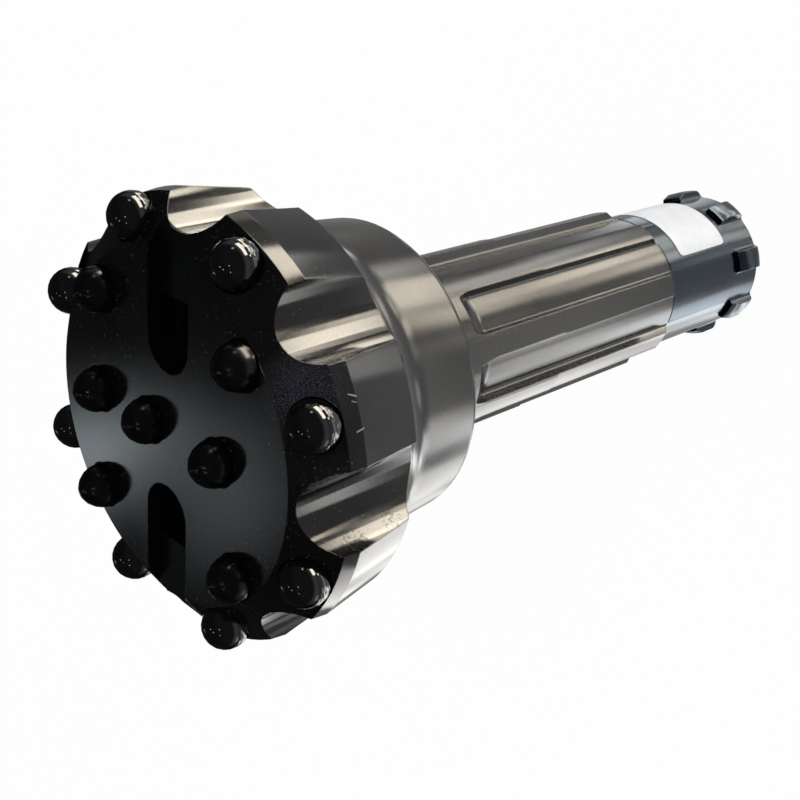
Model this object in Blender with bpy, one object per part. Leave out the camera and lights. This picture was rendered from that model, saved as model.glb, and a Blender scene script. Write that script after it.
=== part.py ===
"""Button drill bit for a down-the-hole hammer.

One forged and machined steel body carries fifteen tungsten carbide buttons, each pressed
into its own blind hole in the head, and a blank label is stuck round part of the neck. The
bit stands on its strike end: its axis is Z, the strike face lies at z = 0 and the drilling
face looks up.
"""

import math

import bmesh
import bpy
from mathutils import Matrix, Vector

MM = 0.001
DEGREE = math.pi / 180

# Lengths along the axis, one after the other from the strike end up.
CROWN_LENGTH = 15.3 * MM
NECK_LENGTH = 44.7 * MM
REAR_SPLINE_LENGTH = 67.9 * MM
FRONT_SPLINE_LENGTH = 42.9 * MM
PLAIN_LENGTH = 20.4 * MM
COLLAR_LENGTH = 21.4 * MM
LAND_LENGTH = 21.2 * MM
STRIP_LENGTH = 5.0 * MM

# Shank.
BORE_RADIUS = 10.0 * MM
BORE_CHAMFER = 1.2 * MM
BORE_ROOF = 50.0 * MM
DRILL_POINT_ANGLE = 118 * DEGREE
NECK_RADIUS = 25.9 * MM
REAR_SPLINE_RADIUS = 29.1 * MM
SPLINE_RISE = 0.4 * MM
SPLINE_COUNT = 8
SPLINE_WIDTH = 7.9 * MM
SPLINE_PHASE = -2.0 * DEGREE
SPLINE_END_CHAMFER = 4.1 * MM
GROOVE_DEPTH = 3.35 * MM
GROOVE_ROOT_FILLET = 1.4 * MM
GROOVE_RUNOUT = 8.7 * MM
EDGE_BREAK_WIDTH = 1.0 * MM
EDGE_BREAK_DEPTH = 0.45 * MM
CROWN_SETBACK = 0.2 * MM
CROWN_NECK_WALL = 1.5 * MM
CROWN_NECK_CHAMFER = 4.0 * MM
STRIKE_EDGE_RADIUS = 4.0 * MM

# Head.
SHOULDER_FILLET = 3.0 * MM
COLLAR_EDGE_RADIUS = 2.4 * MM
COLLAR_BACK_RADIUS = 46.8 * MM
COLLAR_FLARE = 1.6 * MM
HEAD_FILLET_RADIUS = 20.0 * MM
LAND_BACK_RADIUS = 61.1 * MM
LAND_EDGE_CHAMFER = 0.7 * MM
LAND_FLARE = 3.3 * MM
STRIP_TAPER = 0.6 * MM
BEVEL_WIDTH = 13.0 * MM
BEVEL_ANGLE = 35 * DEGREE
FLUTE_RADIUS = 12.3 * MM
DEEP_FLUTE_DEPTH = 12.0 * MM
DEEP_FLUTE_ANGLES = (67.5 * DEGREE, 247.5 * DEGREE)
SHALLOW_FLUTE_DEPTH = 8.1 * MM
SHALLOW_FLUTE_ANGLES = (22.5 * DEGREE, 112.5 * DEGREE, 202.5 * DEGREE, 292.5 * DEGREE)
SLOT_FLUTE_RADIUS = 13.4 * MM
SLOT_FLUTE_DEPTH = 8.8 * MM

# Flushing slots in the face, each with a slanted hole down to the air bore.
SLOT_ANGLES = (157.5 * DEGREE, 337.5 * DEGREE)
SLOT_WIDTH = 18.0 * MM
SLOT_DEPTH = 3.7 * MM
SLOT_START = 26.2 * MM
POCKET_LENGTH = 10.8 * MM
POCKET_DEPTH = 9.0 * MM
POCKET_STEP = 0.3 * MM
FLUSHING_RADIUS = 6.5 * MM
FLUSHING_SLANT = 31 * DEGREE

# Buttons. Gauge buttons have round domes, face buttons are ballistic.
BUTTON_SIDE_GAP = 0.3 * MM
BUTTON_FLOOR_GAP = 0.3 * MM
BUTTON_BASE_CHAMFER = 1.0 * MM
GAUGE_BUTTON_RADIUS = 7.0 * MM
GAUGE_BUTTON_LENGTH = 12.5 * MM
GAUGE_INSET = 5.8 * MM
GAUGE_PROUD = 0.4 * MM
GAUGE_COUNT = 8
FACE_BUTTON_RADIUS = 6.7 * MM
FACE_BUTTON_LENGTH = 11.5 * MM
FACE_BUTTON_PROTRUSION = 8.4 * MM
FACE_BUTTON_TIP_RADIUS = 2.3 * MM
FACE_PROUD = 0.6 * MM
OUTER_FACE_ANGLES = (22.5 * DEGREE, 112.5 * DEGREE, 202.5 * DEGREE, 292.5 * DEGREE)
OUTER_FACE_INSET = 6.9 * MM
INNER_LINE_ANGLE = 67.5 * DEGREE
INNER_LINE_OFFSETS = (8.1 * MM, -22.3 * MM, 32.4 * MM)

# Blank label on the neck.
LABEL_HEIGHT = 30.2 * MM
LABEL_WIDTH = 39.0 * MM
LABEL_CORNER = 2.0 * MM
LABEL_THICKNESS = 0.15 * MM
LABEL_GAP = 0.1 * MM
LABEL_ABOVE_CROWN = 4.9 * MM
LABEL_ANGLE = -30.0 * DEGREE

# How finely round forms are divided, and how far a cutter reaches past what it cuts.
BODY_SEGMENTS = 96
BUTTON_SEGMENTS = 20
FLUTE_SEGMENTS = 40
HOLE_SEGMENTS = 24
OVERSHOOT = 1.0 * MM

# Heights worked out from the lengths above.
NECK_BOTTOM = CROWN_LENGTH
SPLINE_BOTTOM = NECK_BOTTOM + NECK_LENGTH
SPLINE_STEP = SPLINE_BOTTOM + REAR_SPLINE_LENGTH
SPLINE_TOP = SPLINE_STEP + FRONT_SPLINE_LENGTH
SHOULDER_Z = SPLINE_TOP + PLAIN_LENGTH
COLLAR_TOP = SHOULDER_Z + COLLAR_LENGTH

# Radii worked out the same way.
FRONT_SPLINE_RADIUS = REAR_SPLINE_RADIUS + SPLINE_RISE
CROWN_RADIUS = REAR_SPLINE_RADIUS - CROWN_SETBACK
GROOVE_FLOOR_RADIUS = REAR_SPLINE_RADIUS - GROOVE_DEPTH
COLLAR_FRONT_RADIUS = COLLAR_BACK_RADIUS + COLLAR_FLARE
LAND_FRONT_RADIUS = LAND_BACK_RADIUS + LAND_FLARE
STRIP_RADIUS = LAND_FRONT_RADIUS - STRIP_TAPER
FACE_RADIUS = STRIP_RADIUS - BEVEL_WIDTH
GAUGE_CIRCLE_RADIUS = STRIP_RADIUS - GAUGE_INSET
OUTER_FACE_RADIUS = FACE_RADIUS - OUTER_FACE_INSET

# Head heights follow from the radii.
FILLET_RISE = LAND_BACK_RADIUS - LAND_EDGE_CHAMFER - COLLAR_FRONT_RADIUS
FILLET_LENGTH = math.sqrt(HEAD_FILLET_RADIUS ** 2 - (HEAD_FILLET_RADIUS - FILLET_RISE) ** 2)
LAND_BOTTOM = COLLAR_TOP + FILLET_LENGTH
LAND_TOP = LAND_BOTTOM + LAND_LENGTH
STRIP_TOP = LAND_TOP + STRIP_LENGTH
FACE_Z = STRIP_TOP + (STRIP_RADIUS - FACE_RADIUS) * math.tan(BEVEL_ANGLE)
BORE_DEPTH = FACE_Z - BORE_ROOF


def arc(centre, radius, start, end, steps):
    """Points of an arc in the profile plane, from one angle to the other."""
    points = []
    for i in range(steps + 1):
        angle = start + (end - start) * i / steps
        points.append((centre[0] + radius * math.cos(angle), centre[1] + radius * math.sin(angle)))
    return points


def new_object(name, mesh_data, material=None):
    """Puts a mesh into the scene as an object of that name."""
    thing = bpy.data.objects.new(name, mesh_data)
    bpy.context.scene.collection.objects.link(thing)
    if material is not None and not mesh_data.materials:
        mesh_data.materials.append(material)
    return thing


def mesh_from(bm, name):
    """Turns a bmesh into mesh data with its normals outward."""
    bmesh.ops.recalc_face_normals(bm, faces=bm.faces)
    data = bpy.data.meshes.new(name)
    bm.to_mesh(data)
    bm.free()
    return data


def revolved(name, profile, segments):
    """Turns a profile of (radius, height) points about Z. Both its ends lie on the axis."""
    bm = bmesh.new()
    rings = []
    for radius, height in profile:
        if radius == 0:
            rings.append([bm.verts.new((0, 0, height))])
            continue
        ring = []
        for i in range(segments):
            angle = 2 * math.pi * i / segments
            ring.append(bm.verts.new((radius * math.cos(angle), radius * math.sin(angle), height)))
        rings.append(ring)
    for low, high in zip(rings, rings[1:]):
        for i in range(segments):
            j = (i + 1) % segments
            corners = [low[i % len(low)], low[j % len(low)], high[j % len(high)], high[i % len(high)]]
            bm.faces.new(list(dict.fromkeys(corners)))
    return mesh_from(bm, name)


def add_loft(bm, sections):
    """Joins closed sections with the same number of points into one capped solid."""
    rings = [[bm.verts.new(point) for point in section] for section in sections]
    count = len(rings[0])
    for low, high in zip(rings, rings[1:]):
        for i in range(count):
            j = (i + 1) % count
            bm.faces.new((low[i], low[j], high[j], high[i]))
    bm.faces.new(list(reversed(rings[0])))
    bm.faces.new(rings[-1])


def add_cylinder(bm, radius, length, placement, segments):
    """Adds a cylinder whose lower end sits at the placement's origin."""
    raised = placement @ Matrix.Translation((0, 0, length / 2))
    bmesh.ops.create_cone(
        bm, cap_ends=True, segments=segments, radius1=radius, radius2=radius, depth=length, matrix=raised
    )


def turned(angle):
    """A turn about the bit's axis."""
    return Matrix.Rotation(angle, 4, "Z")


def cutter(bm, name):
    """Makes a cutting tool that shows as wires and is never rendered."""
    tool = new_object(name, mesh_from(bm, name))
    tool.display_type = "WIRE"
    tool.hide_render = True
    return tool


def cut(body, tool):
    """Cuts the tool out of the body."""
    modifier = body.modifiers.new(tool.name, "BOOLEAN")
    modifier.operation = "DIFFERENCE"
    modifier.solver = "EXACT"
    modifier.object = tool


def material(name, colour, roughness, metallic):
    """A plain Principled BSDF in the part's colour."""
    made = bpy.data.materials.new(name)
    made.use_nodes = True
    shader = made.node_tree.nodes["Principled BSDF"]
    shader.inputs["Base Color"].default_value = (*colour, 1)
    shader.inputs["Roughness"].default_value = roughness
    shader.inputs["Metallic"].default_value = metallic
    made.diffuse_color = (*colour, 1)
    return made


def bore_profile():
    """The air bore, from the drill point down to its mouth in the strike face."""
    point_height = BORE_RADIUS / math.tan(DRILL_POINT_ANGLE / 2)
    return [
        (0, BORE_DEPTH + point_height),
        (BORE_RADIUS, BORE_DEPTH),
        (BORE_RADIUS, BORE_CHAMFER),
        (BORE_RADIUS + BORE_CHAMFER, 0),
    ]


def shank_profile():
    """Strike crown, retaining ring neck and the cylinder that the splines are cut from."""
    return [
        *arc((CROWN_RADIUS - STRIKE_EDGE_RADIUS, STRIKE_EDGE_RADIUS), STRIKE_EDGE_RADIUS, -math.pi / 2, 0, 4),
        (CROWN_RADIUS, CROWN_LENGTH - CROWN_NECK_CHAMFER),
        (NECK_RADIUS + CROWN_NECK_WALL, CROWN_LENGTH),
        (NECK_RADIUS, CROWN_LENGTH),
        (NECK_RADIUS, SPLINE_BOTTOM),
        (REAR_SPLINE_RADIUS, SPLINE_BOTTOM + SPLINE_END_CHAMFER),
        (REAR_SPLINE_RADIUS, SPLINE_STEP),
        (FRONT_SPLINE_RADIUS, SPLINE_STEP + SPLINE_RISE),
    ]


def collar_profile():
    """Root fillet, chuck shoulder, rounded back edge and the flared band of the collar."""
    root = (FRONT_SPLINE_RADIUS + SHOULDER_FILLET, SHOULDER_Z - SHOULDER_FILLET)
    edge = (COLLAR_BACK_RADIUS - COLLAR_EDGE_RADIUS, SHOULDER_Z + COLLAR_EDGE_RADIUS)
    return [
        *arc(root, SHOULDER_FILLET, math.pi, math.pi / 2, 4),
        *arc(edge, COLLAR_EDGE_RADIUS, -math.pi / 2, 0, 4),
    ]


def head_profile():
    """Big concave fillet, land with its front strip, gauge bevel and flat drilling face."""
    centre = (COLLAR_FRONT_RADIUS + HEAD_FILLET_RADIUS, COLLAR_TOP)
    finish = math.pi - math.asin(FILLET_LENGTH / HEAD_FILLET_RADIUS)
    return [
        *arc(centre, HEAD_FILLET_RADIUS, math.pi, finish, 8),
        (LAND_BACK_RADIUS, LAND_BOTTOM + LAND_EDGE_CHAMFER),
        (LAND_FRONT_RADIUS, LAND_TOP),
        (STRIP_RADIUS, STRIP_TOP),
        (FACE_RADIUS, FACE_Z),
        (0, FACE_Z),
    ]


def groove_section(height, lift):
    """One spline groove's outline at a height, centred on +X and lifted by the cutter's path.

    The walls are parallel to the middle planes of the ridges on either side.
    """
    pitch = math.pi / SPLINE_COUNT
    half = SPLINE_WIDTH / 2
    fillet = GROOVE_ROOT_FILLET
    reach = FRONT_SPLINE_RADIUS + 0.7 * OVERSHOOT
    extra = (reach - FRONT_SPLINE_RADIUS) * EDGE_BREAK_WIDTH / EDGE_BREAK_DEPTH

    def beside_ridge(along, away):
        x = along * math.cos(pitch) + away * math.sin(pitch)
        y = along * math.sin(pitch) - away * math.cos(pitch)
        return x, y

    along = math.sqrt((GROOVE_FLOOR_RADIUS + fillet) ** 2 - (half + fillet) ** 2)
    centre = beside_ridge(along, half + fillet)
    floor_angle = math.atan2(centre[1], centre[0])
    side = arc(centre, fillet, floor_angle - math.pi, pitch - math.pi / 2 - math.pi, 3)
    side[-1] = beside_ridge(along, half)
    side.append(beside_ridge(FRONT_SPLINE_RADIUS - EDGE_BREAK_DEPTH, half))
    side.append(beside_ridge(reach, half - EDGE_BREAK_WIDTH - extra))
    floor = arc((0, 0), GROOVE_FLOOR_RADIUS, -floor_angle, floor_angle, 6)[1:-1]
    mouth_angle = math.atan2(side[-1][1], side[-1][0])
    mouth = arc((0, 0), math.hypot(*side[-1]), mouth_angle, -mouth_angle, 4)[1:-1]
    mirrored = [(x, -y) for x, y in reversed(side)]
    outline = mirrored + floor + side + mouth
    return [(x + lift, y, height) for x, y in outline]


def groove_lift(rise):
    """How far the milling cutter has left the floor at a distance into the run-out."""
    depth = FRONT_SPLINE_RADIUS - GROOVE_FLOOR_RADIUS
    radius = (GROOVE_RUNOUT ** 2 + depth ** 2) / (2 * depth)
    return radius - math.sqrt(radius ** 2 - rise ** 2)


def spline_grooves():
    """Eight milled grooves that leave the splines, and run out below the plain shank."""
    bm = bmesh.new()
    start = SPLINE_TOP - GROOVE_RUNOUT
    sections = [(SPLINE_BOTTOM - OVERSHOOT, 0)]
    for i in range(7):
        rise = (GROOVE_RUNOUT + OVERSHOOT / 2) * i / 6
        sections.append((start + rise, groove_lift(rise)))
    add_groove_ring(bm, sections)
    return cutter(bm, "spline_groove_cutter")


def crown_gaps():
    """The same grooves taken through the crown, down to the neck."""
    bm = bmesh.new()
    add_groove_ring(bm, [(-OVERSHOOT, 0), (CROWN_LENGTH + OVERSHOOT, 0)])
    return cutter(bm, "crown_gap_cutter")


def add_groove_ring(bm, sections):
    """Repeats one groove, given as heights and lifts, round the bit between the ridges."""
    for i in range(SPLINE_COUNT):
        turn = turned(SPLINE_PHASE + (i + 0.5) * 2 * math.pi / SPLINE_COUNT)
        placed = []
        for height, lift in sections:
            placed.append([turn @ Vector(point) for point in groove_section(height, lift)])
        add_loft(bm, placed)


def head_flutes():
    """Round-bottomed flutes that let the cuttings past the head, in three sizes."""
    bm = bmesh.new()
    length = FACE_Z - COLLAR_TOP + 2 * OVERSHOOT
    flutes = [(angle, DEEP_FLUTE_DEPTH, FLUTE_RADIUS) for angle in DEEP_FLUTE_ANGLES]
    flutes += [(angle, SHALLOW_FLUTE_DEPTH, FLUTE_RADIUS) for angle in SHALLOW_FLUTE_ANGLES]
    flutes += [(angle, SLOT_FLUTE_DEPTH, SLOT_FLUTE_RADIUS) for angle in SLOT_ANGLES]
    for angle, depth, radius in flutes:
        out = LAND_FRONT_RADIUS - depth + radius
        middle = Matrix.Translation((out, 0, COLLAR_TOP - OVERSHOOT))
        add_cylinder(bm, radius, length, turned(angle) @ middle, FLUTE_SEGMENTS)
    return cutter(bm, "flute_cutter")


def slot_outline(width, start, end):
    """Plan of a slot along +X with a round inner end."""
    inner = arc((start, 0), width / 2, math.pi / 2, 3 * math.pi / 2, 12)
    return [*inner, (end, -width / 2), (end, width / 2)]


def add_slot(bm, angle, width, start, end, depth):
    """Adds one slot of a given depth below the drilling face."""
    turn = turned(angle)
    sections = []
    for height in (FACE_Z - depth, FACE_Z + OVERSHOOT):
        outline = slot_outline(width, start, end)
        sections.append([turn @ Vector((x, y, height)) for x, y in outline])
    add_loft(bm, sections)


def flushing_slots():
    """Shallow slots from near the middle of the face out into two flutes."""
    bm = bmesh.new()
    for angle in SLOT_ANGLES:
        end = LAND_FRONT_RADIUS + OVERSHOOT
        add_slot(bm, angle, SLOT_WIDTH, SLOT_START, end, SLOT_DEPTH)
    return cutter(bm, "slot_cutter")


def flushing_pockets():
    """Deeper pockets at the inner ends of the slots, where the flushing holes open."""
    bm = bmesh.new()
    for angle in SLOT_ANGLES:
        end = SLOT_START + POCKET_LENGTH
        add_slot(bm, angle, SLOT_WIDTH - 2 * POCKET_STEP, SLOT_START, end, POCKET_DEPTH)
    return cutter(bm, "pocket_cutter")


def flushing_hole(index, angle):
    """A slanted hole from the pocket's floor down and in to the middle of the air bore."""
    bm = bmesh.new()
    mouth_height = FACE_Z - POCKET_DEPTH
    mouth = Matrix.Translation((SLOT_START + FLUSHING_RADIUS / 4, 0, mouth_height))
    reach = (SLOT_START + FLUSHING_RADIUS / 4) / math.sin(FLUSHING_SLANT)
    above = FLUSHING_RADIUS * math.tan(FLUSHING_SLANT) + OVERSHOOT
    slant = Matrix.Rotation(FLUSHING_SLANT, 4, "Y")
    place = turned(angle) @ mouth @ slant @ Matrix.Translation((0, 0, -reach))
    add_cylinder(bm, FLUSHING_RADIUS, reach + above, place, HOLE_SEGMENTS)
    return cutter(bm, "flushing_hole_cutter_%d" % index)


def gauge_placements():
    """Places of the gauge buttons: the dome's centre, with Z along the button."""
    surface = FACE_Z - (GAUGE_CIRCLE_RADIUS - FACE_RADIUS) * math.tan(BEVEL_ANGLE)
    height = surface + GAUGE_PROUD / math.cos(BEVEL_ANGLE)
    centre = Matrix.Translation((GAUGE_CIRCLE_RADIUS, 0, height))
    lean = Matrix.Rotation(BEVEL_ANGLE, 4, "Y")
    return [turned(i * 2 * math.pi / GAUGE_COUNT) @ centre @ lean for i in range(GAUGE_COUNT)]


def face_placements():
    """Places of the face buttons: four on an outer circle and three on one line."""
    height = FACE_Z + FACE_PROUD
    places = [turned(a) @ Matrix.Translation((OUTER_FACE_RADIUS, 0, height)) for a in OUTER_FACE_ANGLES]
    for offset in INNER_LINE_OFFSETS:
        places.append(turned(INNER_LINE_ANGLE) @ Matrix.Translation((offset, 0, height)))
    return places


def button_holes():
    """Blind holes, each a little wider and deeper than its button."""
    bm = bmesh.new()
    sizes = [
        (gauge_placements(), GAUGE_BUTTON_RADIUS, GAUGE_BUTTON_LENGTH),
        (face_placements(), FACE_BUTTON_RADIUS, FACE_BUTTON_LENGTH),
    ]
    for places, radius, length in sizes:
        depth = length + BUTTON_FLOOR_GAP
        for place in places:
            floor = place @ Matrix.Translation((0, 0, -depth))
            add_cylinder(bm, radius + BUTTON_SIDE_GAP, depth + radius, floor, HOLE_SEGMENTS)
    return cutter(bm, "button_hole_cutter")


def button_root(radius, length):
    """The seated part of a button: flat base, chamfer and straight side."""
    return [
        (0, -length),
        (radius - BUTTON_BASE_CHAMFER, -length),
        (radius, BUTTON_BASE_CHAMFER - length),
    ]


def gauge_button_mesh():
    """A round-domed button with its dome's centre at the origin."""
    dome = arc((0, 0), GAUGE_BUTTON_RADIUS, 0, math.pi / 2, 6)
    dome[-1] = (0, GAUGE_BUTTON_RADIUS)
    profile = button_root(GAUGE_BUTTON_RADIUS, GAUGE_BUTTON_LENGTH) + dome
    return revolved("gauge_button_mesh", profile, BUTTON_SEGMENTS)


def face_button_mesh():
    """A ballistic button: a curved flank that runs smoothly into a small round tip."""
    radius = FACE_BUTTON_RADIUS
    tip = FACE_BUTTON_TIP_RADIUS
    tip_height = FACE_BUTTON_PROTRUSION - FACE_PROUD - tip
    flank = (radius ** 2 + tip_height ** 2 - tip ** 2) / (2 * (radius - tip))
    join = math.atan2(tip_height, flank - radius)
    crown = arc((0, tip_height), tip, join, math.pi / 2, 3)
    crown[-1] = (0, tip_height + tip)
    profile = button_root(radius, FACE_BUTTON_LENGTH)
    profile += arc((radius - flank, 0), flank, 0, join, 5)
    profile += crown[1:]
    return revolved("face_button_mesh", profile, BUTTON_SEGMENTS)


def label_columns():
    """Angles across the label with its half height at each, round corners included."""
    half_turn = LABEL_WIDTH / 2 / NECK_RADIUS
    half_height = LABEL_HEIGHT / 2
    corner = []
    for i in range(4):
        swing = i * math.pi / 6
        turn = LABEL_CORNER * (1 - math.cos(swing)) / NECK_RADIUS - half_turn
        corner.append((turn, half_height - LABEL_CORNER * (1 - math.sin(swing))))
    start = corner[-1][0]
    middle = [(start * (1 - i / 8), half_height) for i in range(1, 16)]
    return corner + middle + [(-turn, half) for turn, half in reversed(corner)]


def build_label(paper):
    """A thin blank label that follows the neck."""
    inner = NECK_RADIUS + LABEL_GAP
    outer = inner + LABEL_THICKNESS
    middle = NECK_BOTTOM + LABEL_ABOVE_CROWN + LABEL_HEIGHT / 2
    sections = []
    for turn, half in label_columns():
        across = Matrix.Rotation(LABEL_ANGLE + turn, 3, "Z") @ Vector((1, 0, 0))
        low = Vector((0, 0, middle - half))
        high = Vector((0, 0, middle + half))
        near, far = across * inner, across * outer
        sections.append([near + low, far + low, far + high, near + high])
    bm = bmesh.new()
    add_loft(bm, sections)
    new_object("blank_label", mesh_from(bm, "blank_label_mesh"), paper)


def build_body(steel):
    """The one-piece steel body: turned outline first, then every milled and drilled cut."""
    profile = bore_profile() + shank_profile() + collar_profile() + head_profile()
    body = new_object("bit_body", revolved("bit_body_mesh", profile, BODY_SEGMENTS), steel)
    cut(body, spline_grooves())
    cut(body, crown_gaps())
    cut(body, head_flutes())
    cut(body, flushing_slots())
    cut(body, flushing_pockets())
    for index, angle in enumerate(SLOT_ANGLES, start=1):
        cut(body, flushing_hole(index, angle))
    cut(body, button_holes())
    return body


def build_buttons(kind, data, places, carbide):
    """Sets one button of a kind into each place."""
    data.materials.append(carbide)
    for index, place in enumerate(places, start=1):
        button = new_object("%s_button_%d" % (kind, index), data)
        button.matrix_world = place


def clear_scene():
    """Removes whatever the scene holds before the bit is built."""
    for thing in list(bpy.data.objects):
        bpy.data.objects.remove(thing, do_unlink=True)


def main():
    clear_scene()
    steel = material("black_painted_steel", (0.035, 0.036, 0.038), 0.32, 0.6)
    carbide = material("black_painted_carbide", (0.012, 0.012, 0.013), 0.12, 0.3)
    paper = material("white_label_paper", (0.82, 0.84, 0.87), 0.45, 0.0)
    build_body(steel)
    build_label(paper)
    build_buttons("gauge", gauge_button_mesh(), gauge_placements(), carbide)
    build_buttons("face", face_button_mesh(), face_placements(), carbide)


main()
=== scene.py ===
"""Looks of the button drill bit: paint, buttons, blank label, floor, light and camera."""

import math

import bpy
from mathutils import Euler, Matrix, Vector

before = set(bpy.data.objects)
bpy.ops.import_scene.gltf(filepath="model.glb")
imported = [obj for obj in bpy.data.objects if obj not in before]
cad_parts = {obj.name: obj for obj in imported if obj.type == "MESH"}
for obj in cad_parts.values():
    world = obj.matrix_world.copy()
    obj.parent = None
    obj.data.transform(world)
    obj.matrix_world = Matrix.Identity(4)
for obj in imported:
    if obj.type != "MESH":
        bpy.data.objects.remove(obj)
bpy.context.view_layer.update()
scene = bpy.context.scene

# Lengths are in metres and directions in degrees. A noise is waves per metre, detail and
# roughness. A step is the two values that it runs between, then what it gives at each, which
# is 0 and 1 where it isn't said.

# Smallest angle between two faces that reads as an edge.
EDGE_ANGLE = math.radians(24)

# Heights of the two rings round the head that stay sharp although their faces meet at a slight
# angle, and how near to them an edge lies.
RING_ANGLE = math.radians(12)
SHARP_RINGS = (0.2521, 0.2309)
RING_REACH = 0.00008

# Corners closer than this are the same corner.
JOIN_DISTANCE = 0.000002


# Node helpers.

class Shader:
    """Builds one node tree in short calls."""

    def __init__(self, tree):
        self.tree = tree
        tree.nodes.clear()

    def node(self, kind, inputs=None, **settings):
        made = self.tree.nodes.new(kind)
        for name, value in settings.items():
            setattr(made, name, value)
        for key, value in (inputs or {}).items():
            self.put(made.inputs[key], value)
        return made

    def put(self, socket, value):
        """Links or sets a socket. A colour is three numbers and gets its alpha here."""
        if isinstance(value, bpy.types.NodeSocket):
            self.tree.links.new(value, socket)
        elif socket.type == "RGBA":
            socket.default_value = (*value, 1.0)
        else:
            socket.default_value = value

    def math(self, operation, a, b=0.0):
        return self.node("ShaderNodeMath", {0: a, 1: b}, operation=operation).outputs[0]

    def vector(self, operation, a, b=(0, 0, 0)):
        made = self.node("ShaderNodeVectorMath", {0: a, 1: b}, operation=operation)
        return made.outputs["Value" if operation in ("DOT_PRODUCT", "LENGTH") else "Vector"]

    def scaled(self, a, amount):
        return self.node("ShaderNodeVectorMath", {0: a, "Scale": amount}, operation="SCALE").outputs[0]

    def distance(self, a, b):
        return self.vector("LENGTH", self.vector("SUBTRACT", a, b))

    def remap(self, value, low, high, to_low=0.0, to_high=1.0, smooth=False):
        inputs = {"Value": value, "From Min": low, "From Max": high, "To Min": to_low, "To Max": to_high}
        kind = "SMOOTHSTEP" if smooth else "LINEAR"
        return self.node("ShaderNodeMapRange", inputs, interpolation_type=kind).outputs["Result"]

    def noise(self, where, scale, detail, rough):
        inputs = {"Vector": where, "Scale": scale, "Detail": detail, "Roughness": rough}
        return self.node("ShaderNodeTexNoise", inputs).outputs[0]

    def mix(self, share, a, b):
        return self.node("ShaderNodeMix", {0: share, 6: a, 7: b}, data_type="RGBA").outputs[2]

    def product(self, first, *others):
        for other in others:
            first = self.math("MULTIPLY", first, other)
        return first

    def largest(self, first, *others):
        for other in others:
            first = self.math("MAXIMUM", first, other)
        return first

    def place(self):
        return self.node("ShaderNodeTexCoord").outputs["Object"]

    def radius(self, at):
        """Distance of a place from the bit's axis."""
        return self.vector("LENGTH", self.vector("MULTIPLY", at, (1, 1, 0)))

    def height(self, at):
        return self.node("ShaderNodeSeparateXYZ", {0: at}).outputs["Z"]

    def bump(self, height, depth, strength, **more):
        inputs = {"Strength": strength, "Distance": depth, "Height": height, **more}
        return self.node("ShaderNodeBump", inputs).outputs[0]

    def surface(self, colour, metal, rough, normal):
        inputs = {"Base Color": colour, "Metallic": metal, "Roughness": rough, "Normal": normal}
        shader = self.node("ShaderNodeBsdfPrincipled", inputs).outputs[0]
        self.node("ShaderNodeOutputMaterial", {"Surface": shader})

    def background(self, colour, strength):
        return self.node("ShaderNodeBackground", {"Color": colour, "Strength": strength}).outputs[0]

    def choose(self, share, a, b):
        """First shader where the share is 0, second where it is 1."""
        return self.node("ShaderNodeMixShader", {0: share, 1: a, 2: b}).outputs[0]


def new_material(name):
    material = bpy.data.materials.new(name)
    material.use_nodes = True
    return material, Shader(material.node_tree)


def grey(level):
    return (level, level, level)


WHITE = grey(1.0)


# Body paint.

# The paint's two tones, its patches, and the bluer tone of the neck and the strike end.
PAINT_TONES = (grey(0.078), (0.086, 0.086, 0.085))
PATCHES = (45.0, 3.0, 0.5)
PATCH_STEP = (0.35, 0.65)
REAR_TONE = (0.044, 0.056, 0.070)
REAR_STEP = (0.0610, 0.0585)

# Grain of the sprayed paint, and the radius of its soft edges.
GRAIN = (3200.0, 2.0, 0.6)
GRAIN_HEIGHT = 0.000007
EDGE_RADIUS = 0.0004
EDGE_SAMPLES = 4

# Fine mottling, which darkens and lightens the paint a little.
MOTTLE = (2600.0, 2.0, 0.6)
MOTTLE_STEP = (0.35, 0.65, 0.93, 1.06)

# Dust specks.
DUST = (2200.0, 1.0, 0.5)
DUST_STEP = (0.745, 0.785)
DUST_TONE = (0.14, 0.14, 0.135)

# Violet flecks in the paint of the bevel: place, reach and the part of it where they are full.
FLECK_SPOT = (0.0085, -0.0570, 0.2612)
FLECK_REACH = 0.013
FLECK_CORE = 0.3
FLECKS = (5200.0, 1.0, 0.5)
FLECK_STEP = (0.46, 0.72)
FLECK_TONE = (0.032, 0.020, 0.060)

# How rough the paint is at each height: the shank and the collar rougher than the head. The
# patches add or take a little.
ROUGH_ZONES = ((0.0, 0.17), (0.170, 0.17), (0.190, 0.18), (0.214, 0.18), (0.222, 0.10), (0.28, 0.10))
PATCH_ROUGHNESS = (0.3, 0.7, -0.015, 0.015)

# The two slots and their pockets are rougher, and painted darker as shade: radii, half width,
# top and lowest heights, and the angle of their line and the direction across it.
SLOT_REACH = 0.0585
POCKET_REACH = 0.0505
SLOT_HALF = 0.0092
SLOT_TOP = 0.2655
SLOT_BASE = 0.2615
POCKET_BASE = 0.2435
SLOT_ANGLE = math.radians(157.5)
SLOT_ACROSS = (math.sin(SLOT_ANGLE), -math.cos(SLOT_ANGLE), 0)
SLOT_SHADE_TONE = (0.012, 0.013, 0.013)
SLOT_ROUGHNESS = 0.4

# Share of the paint that scatters light and doesn't mirror it: in the open, and in the slots.
OPEN_MATT = 0.015
SLOT_MATT = 0.12

# Scuffs in the lower flute: place, reach and the noise above which they show. They are full
# within a part of the reach, and their edges are ragged.
SCUFFS = (
    ((-0.0334, -0.0510, 0.2508), 0.0048, 0.53),
    ((-0.0322, -0.0500, 0.2365), 0.0038, 0.55),
)
SCUFF_CORE = 0.4
SCUFF_NOISE = (1100.0, 3.0, 0.6)
SCUFF_SOFTNESS = 0.03
SCUFF_TONE = (0.012, 0.012, 0.010)

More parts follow.
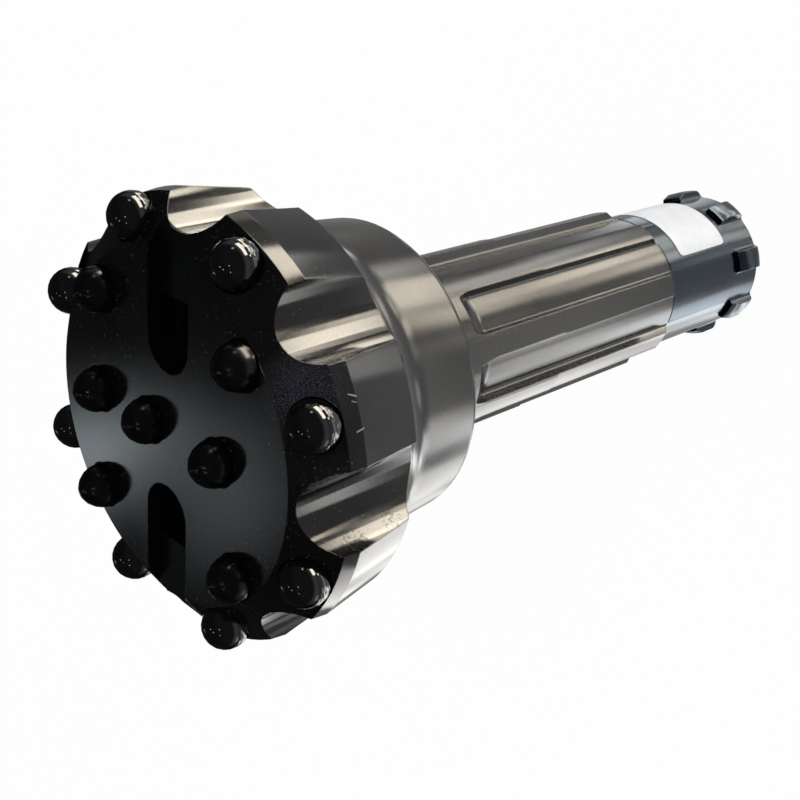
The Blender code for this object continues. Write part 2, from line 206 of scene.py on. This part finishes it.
# Light ticks on the front strip: start, end and half width. They fade out between the two
# distances of their soft edge, in half widths.
TICKS = (
    ((0.0061, -0.0640, 0.2542), (0.0051, -0.0642, 0.2521), 0.00024),
    ((0.0042, -0.0641, 0.2536), (0.0036, -0.0642, 0.2524), 0.00012),
    ((-0.0034, -0.0641, 0.2539), (-0.0030, -0.0643, 0.2517), 0.00020),
)
TICK_EDGE = (1.3, 0.6)
TICK_TONE = (0.30, 0.28, 0.25)


def rough_by_height(s, height):
    """Roughness of the paint, read from the zones with straight steps between them."""
    top = ROUGH_ZONES[-1][0]
    zones = s.node("ShaderNodeValToRGB", {"Fac": s.math("DIVIDE", height, top)})
    stops = zones.color_ramp.elements
    for start, level in ROUGH_ZONES[1:-1]:
        stops.new(start / top)
    for stop, zone in zip(stops, ROUGH_ZONES):
        stop.color = (*grey(zone[1]), 1.0)
    return zones.outputs[0]


def slot_mask(s, at, height):
    """1 in the slots and their pockets, 0 elsewhere."""
    radius = s.radius(at)
    pocket = s.product(s.math("LESS_THAN", radius, POCKET_REACH), s.math("GREATER_THAN", height, POCKET_BASE))
    slot = s.product(s.math("LESS_THAN", radius, SLOT_REACH), s.math("GREATER_THAN", height, SLOT_BASE))
    off = s.math("ABSOLUTE", s.vector("DOT_PRODUCT", at, SLOT_ACROSS))
    narrow = s.math("LESS_THAN", off, SLOT_HALF)
    return s.product(s.largest(pocket, slot), narrow, s.math("LESS_THAN", height, SLOT_TOP))


def scuff_masks(s, at):
    ragged = s.noise(at, *SCUFF_NOISE)
    for spot, reach, low in SCUFFS:
        near = s.remap(s.distance(at, spot), reach, SCUFF_CORE * reach)
        yield s.product(near, s.remap(ragged, low, low + SCUFF_SOFTNESS))


def tick_masks(s, at):
    for start, end, half in TICKS:
        line = Vector(end) - Vector(start)
        along = line.normalized()[:]
        offset = s.vector("SUBTRACT", at, start)
        reach = s.largest(s.vector("DOT_PRODUCT", offset, along), 0.0)
        nearest = s.scaled(along, s.math("MINIMUM", reach, line.length))
        yield s.remap(s.distance(offset, nearest), TICK_EDGE[0] * half, TICK_EDGE[1] * half)


def body_paint():
    """Satin black paint over machined steel: fine grain, soft edges, dust, flecks, scuffs, ticks, and painted
    shade in the slots.
    """
    material, s = new_material("satin_black_paint")
    at = s.place()
    height = s.height(at)
    patches = s.noise(at, *PATCHES)
    colour = s.mix(s.remap(patches, *PATCH_STEP), *PAINT_TONES)
    colour = s.mix(s.remap(height, *REAR_STEP), colour, REAR_TONE)
    colour = s.scaled(colour, s.remap(s.noise(at, *MOTTLE), *MOTTLE_STEP))
    dust = s.remap(s.noise(at, *DUST), *DUST_STEP)
    colour = s.mix(dust, colour, DUST_TONE)
    flecked = s.remap(s.distance(at, FLECK_SPOT), FLECK_REACH, FLECK_CORE * FLECK_REACH)
    flecks = s.product(flecked, s.remap(s.noise(at, *FLECKS), *FLECK_STEP))
    colour = s.mix(flecks, colour, FLECK_TONE)
    slots = slot_mask(s, at, height)
    # The slots and their pockets are painted dark, as painted shade in the recess.
    colour = s.mix(slots, colour, SLOT_SHADE_TONE)
    rough = s.math("ADD", rough_by_height(s, height), s.remap(patches, *PATCH_ROUGHNESS))
    rough = s.largest(rough, s.product(slots, SLOT_ROUGHNESS))
    matt = s.largest(dust, flecks, s.remap(slots, 0, 1, OPEN_MATT, SLOT_MATT))
    for masks, tone in ((scuff_masks(s, at), SCUFF_TONE), (tick_masks(s, at), TICK_TONE)):
        for mask in masks:
            colour = s.mix(mask, colour, tone)
            matt = s.largest(matt, mask)
    edges = s.node("ShaderNodeBevel", {"Radius": EDGE_RADIUS}, samples=EDGE_SAMPLES).outputs[0]
    grain = s.bump(s.noise(at, *GRAIN), GRAIN_HEIGHT, 1.0, Normal=edges)
    s.surface(colour, s.math("SUBTRACT", 1.0, matt), rough, grain)
    return material


# Button paint.

# The pointed buttons of the face stand within this radius. They are duller than the gauge
# buttons on the bevel, and painted darker as shade.
FACE_REACH = 0.0515
GAUGE_TONE = (0.088, 0.088, 0.090)
FACE_SHADE_TONE = (0.048, 0.048, 0.050)
FACE_ROUGHNESS = 0.2

# Share of the paint that scatters light, as on the body.
BUTTON_MATT = 0.02

# Slow waves of the thick paint: their height and strength, and how rough they make it.
WAVES = (260.0, 2.0, 0.5)
WAVE_HEIGHT = 0.00008
WAVE_STRENGTH = 0.3
WAVE_ROUGHNESS = (0.3, 0.7, 0.04, 0.06)

# Dust specks on the buttons.
BUTTON_DUST = (1700.0, 2.0, 0.7)
BUTTON_DUST_STEP = (0.73, 0.79)
BUTTON_DUST_TONE = grey(0.12)


def button_paint():
    """Glossy black paint over the carbide buttons, a little thicker and wavier than on the steel, with the
    face buttons painted darker as shade.
    """
    material, s = new_material("glossy_black_button")
    at = s.place()
    waves = s.noise(at, *WAVES)
    dust = s.remap(s.noise(at, *BUTTON_DUST), *BUTTON_DUST_STEP)
    face = s.math("LESS_THAN", s.radius(at), FACE_REACH)
    rough = s.largest(s.remap(waves, *WAVE_ROUGHNESS), s.product(face, FACE_ROUGHNESS))
    # The face buttons are painted darker than the gauge buttons, as painted shade.
    colour = s.mix(dust, s.mix(face, GAUGE_TONE, FACE_SHADE_TONE), BUTTON_DUST_TONE)
    metal = s.math("SUBTRACT", 1.0, s.largest(dust, BUTTON_MATT))
    s.surface(colour, metal, rough, s.bump(waves, WAVE_HEIGHT, WAVE_STRENGTH))
    return material


# Label paper.

# Lightly rubbed patches: their two tones, and how rough they are.
RUBS = (160.0, 3.0, 0.6)
RUB_STEP = (0.35, 0.7)
PAPER_TONES = ((0.94, 0.95, 0.97), (0.87, 0.89, 0.93))
RUB_ROUGHNESS = (0.3, 0.7, 0.35, 0.5)

# Fine fibres of the paper: their height and strength.
FIBRES = (2600.0, 2.0, 0.6)
FIBRE_HEIGHT = 0.00003
FIBRE_STRENGTH = 0.2


def label_paper():
    """Blank white label stock with a light sheen and a slightly rubbed surface."""
    material, s = new_material("blank_label_paper")
    at = s.place()
    rubs = s.noise(at, *RUBS)
    colour = s.mix(s.remap(rubs, *RUB_STEP), *PAPER_TONES)
    fibres = s.bump(s.noise(at, *FIBRES), FIBRE_HEIGHT, FIBRE_STRENGTH)
    s.surface(colour, 0.0, s.remap(rubs, *RUB_ROUGHNESS), fibres)
    return material


# CAD nodes.

def smooth_group():
    """Geometry nodes that join split corners and shade everything smooth but the real edges."""
    group = bpy.data.node_groups.new("join_and_smooth", "GeometryNodeTree")
    group.interface.new_socket("Geometry", in_out="INPUT", socket_type="NodeSocketGeometry")
    group.interface.new_socket("Geometry", in_out="OUTPUT", socket_type="NodeSocketGeometry")
    s = Shader(group)
    start = s.node("NodeGroupInput").outputs[0]
    joined = s.node("GeometryNodeMergeByDistance", {"Geometry": start, "Distance": JOIN_DISTANCE})
    inputs = {"Geometry": joined.outputs[0], "Shade Smooth": True}
    faces = s.node("GeometryNodeSetShadeSmooth", inputs, domain="FACE")
    angle = s.node("GeometryNodeInputMeshEdgeAngle").outputs["Unsigned Angle"]
    place = s.node("GeometryNodeInputPosition").outputs[0]
    height = s.node("ShaderNodeSeparateXYZ", {0: place}).outputs["Z"]

    def compare(operation, value, limit):
        settings = {"data_type": "FLOAT", "operation": operation}
        return s.node("FunctionNodeCompare", {0: value, 1: limit}, **settings).outputs[0]

    def join_flags(operation, a, b):
        return s.node("FunctionNodeBooleanMath", {0: a, 1: b}, operation=operation).outputs[0]

    smooth = compare("LESS_THAN", angle, EDGE_ANGLE)
    slight = compare("GREATER_THAN", angle, RING_ANGLE)
    for ring_height in SHARP_RINGS:
        inputs = {0: height, 1: ring_height, 2: RING_REACH}
        on_ring = s.node("ShaderNodeMath", inputs, operation="COMPARE").outputs[0]
        ring = join_flags("AND", slight, compare("GREATER_THAN", on_ring, 0.5))
        smooth = join_flags("NIMPLY", smooth, ring)
    inputs = {"Geometry": faces.outputs[0], "Shade Smooth": smooth}
    edges = s.node("GeometryNodeSetShadeSmooth", inputs, domain="EDGE")
    s.node("NodeGroupOutput", {0: edges.outputs[0]})
    return group


def dress(node, material, group):
    if not node.material_slots:
        node.data.materials.append(material)
    for one in node.material_slots:
        one.link = "OBJECT"
        one.material = material
    smooth = node.modifiers.new("join_and_smooth", "NODES")
    smooth.node_group = group
    # Large faces keep their own direction, and the narrow ones between them bend.
    even = node.modifiers.new("weighted_normals", "WEIGHTED_NORMAL")
    even.mode = "FACE_AREA"
    even.keep_sharp = True


def dress_nodes():
    group = smooth_group()
    body, button, paper = body_paint(), button_paint(), label_paper()
    for name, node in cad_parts.items():
        if name == "bit_body":
            dress(node, body, group)
        elif name == "blank_label":
            dress(node, paper, group)
        else:
            dress(node, button, group)


# Room.

WARM = (1.0, 0.90, 0.74)
PALE = (1.0, 0.98, 0.94)
COOL = (0.93, 0.97, 1.0)
SKY = (0.84, 0.94, 1.0)

# Lit parts of the room that the paint mirrors: azimuth and half width, elevation and half
# height, soft edge, then colour and strength.
ROOM = (
    (0, 25, -34.3, 2.4, 0.8, WARM, 9.3),
    (-20, 8.5, -27, 2.0, 0.8, WARM, 9.0),
    (-32, 30, -17.0, 6.4, 1.5, WARM, 11.0),
    (15, 5, -28, 1.5, 1.0, WARM, 0.9),
    (-66, 4, -33.5, 2.0, 1.0, WARM, 12.0),
    (-163, 9, -33, 2.0, 1.0, PALE, 0.9),
    (-31, 17, -39.2, 2.8, 0.8, WARM, 10.5),
    (-12, 8, -38, 1.3, 0.8, WARM, 5.0),
    (-55, 6, -40.4, 1.8, 0.8, WARM, 6.6),
    (-8, 6, -41, 1.6, 1.0, WARM, 1.6),
    (22.7, 9.2, -40.6, 1.7, 0.8, WARM, 6.4),
    (-45, 14, -46, 2.5, 1.5, WARM, 5.1),
    (-18, 8, -47, 3.0, 2.0, PALE, 3.4),
    (-76, 8, -46, 2.0, 1.5, WARM, 1.3),
    (-34, 13, -52.5, 2.2, 1.0, WARM, 10.0),
    (-56, 8, -53.5, 2.0, 1.0, WARM, 5.0),
    (-9, 7, -51, 1.5, 1.0, PALE, 2.8),
    (-60, 8, -57, 1.5, 1.0, WARM, 8.0),
    (-34, 10, -61.5, 2.5, 1.0, WARM, 4.0),
    (-80, 7, -58, 2.5, 1.5, PALE, 1.5),
    (35, 15, -55, 1.8, 1.2, COOL, 2.2),
    (-160, 12, -16, 4.5, 2.0, PALE, 0.9),
    (-142, 13, -36.9, 1.5, 1.0, PALE, 3.4),
    (-137, 5, -32.5, 1.0, 0.8, PALE, 0.8),
    (-168, 16, -43, 2.0, 1.5, COOL, 4.8),
    (-152, 15, -49, 4.0, 2.0, PALE, 3.1),
    (-170, 18, -55, 3.0, 2.0, COOL, 4.1),
    (166, 15, -30, 2.0, 1.0, PALE, 3.5),
    (155, 25, -37.5, 3.0, 1.5, PALE, 2.1),
    (139, 12, -43, 2.0, 1.2, PALE, 1.7),
    (112, 7, -40, 1.5, 1.0, PALE, 1.3),
    (162, 15, -46.5, 4.5, 2.0, PALE, 3.1),
    (167, 16, -54, 3.0, 2.0, PALE, 1.7),
    (151, 15, -59.5, 2.5, 2.0, PALE, 2.6),
    (-128, 14, -69, 4.0, 2.5, PALE, 1.2),
    (-115, 36, -48, 5.5, 2.5, PALE, 0.75),
    (45, 35, -76, 4.0, 3.0, WARM, 1.2),
    (108, 8, -27, 9.0, 3.0, PALE, 1.3),
    (99.7, 0.3, 27.0, 2.8, 3.2, SKY, 4.4),
    (103.8, 3.5, 32.6, 2.2, 2.0, SKY, 0.63),
    (85, 3.0, 71, 1.0, 0.4, PALE, 14.0),
    (-90, 2.4, 64, 1.0, 0.4, PALE, 16.0),
    (150, 5.0, 79, 1.0, 0.4, PALE, 14.0),
    (-143, 1.9, 57, 1.0, 0.4, PALE, 12.0),
    (-16, 4, 8, 3.5, 1.5, COOL, 3.0),
)

# The soft edges are this much wider across than up and down.
WIDE_EDGE = 1.4

# What the paint mirrors between the lit parts, low in the room: the sum of these steps of
# elevation.
LOW_STEPS = ((-23, -26, 0.0, 0.24), (-40, -47, 0.0, 0.13), (-54, -59, 0.0, 0.22))

# Soft light from the sides, for views from lower down. The side that faces the bevel stays dark.
SIDE_STEP = (6, -10, 0.0, 0.30)
SIDE_END = (-24, -21)
DARK_SIDE = 105
DARK_SIDE_STEP = (60, 90)

# The upper room, and its level, which falls towards a dark corner above the dark side. That
# step runs by the cosine of the angle to the corner.
UPPER_STEP = (-15, -5)
DARK_CORNER = (DARK_SIDE, 30)
DARK_CORNER_STEP = (0.1, 0.5, 0.04, 0.02)

# Plain light that the room gives, apart from what the paint mirrors.
AMBIENT_TONE = grey(0.9)
AMBIENT_STRENGTH = 0.8


def direction(azimuth, elevation):
    a, e = math.radians(azimuth), math.radians(elevation)
    return (math.cos(a) * math.cos(e), math.sin(a) * math.cos(e), math.sin(e))


def azimuth_apart(s, azimuth, other):
    """Angle between two azimuths, the short way round."""
    inputs = {0: s.math("SUBTRACT", azimuth, other), 1: 180.0, 2: -180.0}
    apart = s.node("ShaderNodeMath", inputs, operation="WRAP").outputs[0]
    return s.math("ABSOLUTE", apart)


def plain_level(s, towards, azimuth, elevation):
    """Brightness of the room between its lit parts."""
    level = 0.0
    for step in LOW_STEPS:
        level = s.math("ADD", level, s.remap(elevation, *step))
    side = s.product(s.remap(elevation, *SIDE_STEP, smooth=True), s.remap(elevation, *SIDE_END))
    side = s.product(side, s.remap(azimuth_apart(s, azimuth, DARK_SIDE), *DARK_SIDE_STEP))
    level = s.math("ADD", level, side)
    corner = s.vector("DOT_PRODUCT", towards, direction(*DARK_CORNER))
    corner = s.remap(corner, *DARK_CORNER_STEP, smooth=True)
    return s.math("ADD", level, s.product(s.remap(elevation, *UPPER_STEP, smooth=True), corner))


def mirrored_room(s):
    """Colour that the paint mirrors in each direction."""
    towards = s.node("ShaderNodeTexCoord").outputs["Generated"]
    parts = s.node("ShaderNodeSeparateXYZ", {0: towards})
    azimuth = s.math("DEGREES", s.math("ARCTAN2", parts.outputs["Y"], parts.outputs["X"]))
    elevation = s.math("DEGREES", s.math("ARCSINE", parts.outputs["Z"]))
    total = s.scaled(WHITE, plain_level(s, towards, azimuth, elevation))
    for centre, half_width, level, half_height, soft, colour, strength in ROOM:
        wide = WIDE_EDGE * soft
        across = azimuth_apart(s, azimuth, centre)
        across = s.remap(across, half_width + wide, half_width - wide, 0, strength, smooth=True)
        upright = s.math("ABSOLUTE", s.math("SUBTRACT", elevation, level))
        upright = s.remap(upright, half_height + soft, half_height - soft, smooth=True)
        total = s.vector("ADD", total, s.scaled(colour, s.product(across, upright)))
    return total


def make_world():
    """The paint mirrors the lit room, the camera sees white, and other rays find a plain grey."""
    world = bpy.data.worlds.new("studio")
    scene.world = world
    world.use_nodes = True
    world.cycles.sampling_method = "NONE"
    s = Shader(world.node_tree)
    path = s.node("ShaderNodeLightPath")
    mirrored = s.background(mirrored_room(s), 1.0)
    ambient = s.background(AMBIENT_TONE, AMBIENT_STRENGTH)
    unseen = s.choose(path.outputs["Is Glossy Ray"], ambient, mirrored)
    seen = s.choose(path.outputs["Is Camera Ray"], unseen, s.background(WHITE, 1.0))
    s.node("ShaderNodeOutputWorld", {"Surface": seen})


# Floor, lamp and camera.

# The floor lies just under the strike end. The camera sees mostly its white glow.
FLOOR_RADIUS = 2.5
FLOOR_SIDES = 64
FLOOR_HEIGHT = -0.0004
FLOOR_TONE = grey(0.8)
FLOOR_GLOW = 0.97

# The lamp is a square that faces its target.
TARGET = Vector((0, 0, 0.2))
LAMP_FROM = (-60, 50)
LAMP_DISTANCE = 1.6
LAMP_SIDE = 0.8
LAMP_POWER = 8.0

# The camera stands where the photograph was taken from, turned about X, then Y, then Z. Its lens
# and sensor are in millimetres.
CAMERA_PLACE = Vector((0.050169, -0.288294, 0.441556))
CAMERA_TURN = (-20.683, 44.885, -105.660)
CAMERA_LENS = 55.53
CAMERA_SENSOR = 36.0
CAMERA_CLIP = (0.01, 20.0)


def make_floor():
    """A pale floor under the strike end. It shows white, keeps a light shadow, and lets the
    paint mirror the room below it."""
    turns = [2 * math.pi * i / FLOOR_SIDES for i in range(FLOOR_SIDES)]
    rim = [(FLOOR_RADIUS * math.cos(a), FLOOR_RADIUS * math.sin(a), FLOOR_HEIGHT) for a in turns]
    mesh = bpy.data.meshes.new("floor")
    mesh.from_pydata(rim, [], [list(range(FLOOR_SIDES))])
    floor = bpy.data.objects.new("floor", mesh)
    scene.collection.objects.link(floor)
    material, s = new_material("pale_floor")
    path = s.node("ShaderNodeLightPath")
    matt = s.node("ShaderNodeBsdfDiffuse", {"Color": FLOOR_TONE}).outputs[0]
    glow = s.node("ShaderNodeEmission", {"Color": WHITE, "Strength": 1.0}).outputs[0]
    clear = s.node("ShaderNodeBsdfTransparent").outputs[0]
    unseen = s.choose(path.outputs["Is Glossy Ray"], matt, clear)
    seen = s.choose(path.outputs["Is Camera Ray"], unseen, s.choose(FLOOR_GLOW, matt, glow))
    s.node("ShaderNodeOutputMaterial", {"Surface": seen})
    mesh.materials.append(material)


def make_lamp():
    """One soft lamp from the camera's side. The paint mirrors the room and not the lamp."""
    data = bpy.data.lights.new("soft_box", "AREA")
    data.shape = "SQUARE"
    data.size = LAMP_SIDE
    data.energy = LAMP_POWER
    lamp = bpy.data.objects.new("soft_box", data)
    away = Vector(direction(*LAMP_FROM))
    lamp.location = TARGET + away * LAMP_DISTANCE
    lamp.rotation_mode = "QUATERNION"
    lamp.rotation_quaternion = away.to_track_quat("Z", "Y")
    lamp.visible_glossy = False
    scene.collection.objects.link(lamp)


def make_camera():
    data = bpy.data.cameras.new("camera")
    data.sensor_width = CAMERA_SENSOR
    data.sensor_fit = "HORIZONTAL"
    data.lens = CAMERA_LENS
    data.clip_start, data.clip_end = CAMERA_CLIP
    camera = bpy.data.objects.new("camera", data)
    turn = Euler([math.radians(angle) for angle in CAMERA_TURN])
    camera.matrix_world = Matrix.LocRotScale(CAMERA_PLACE, turn, None)
    scene.collection.objects.link(camera)
    scene.camera = camera


dress_nodes()
make_world()
make_floor()
make_lamp()
make_camera()
scene.view_settings.view_transform = "Standard"
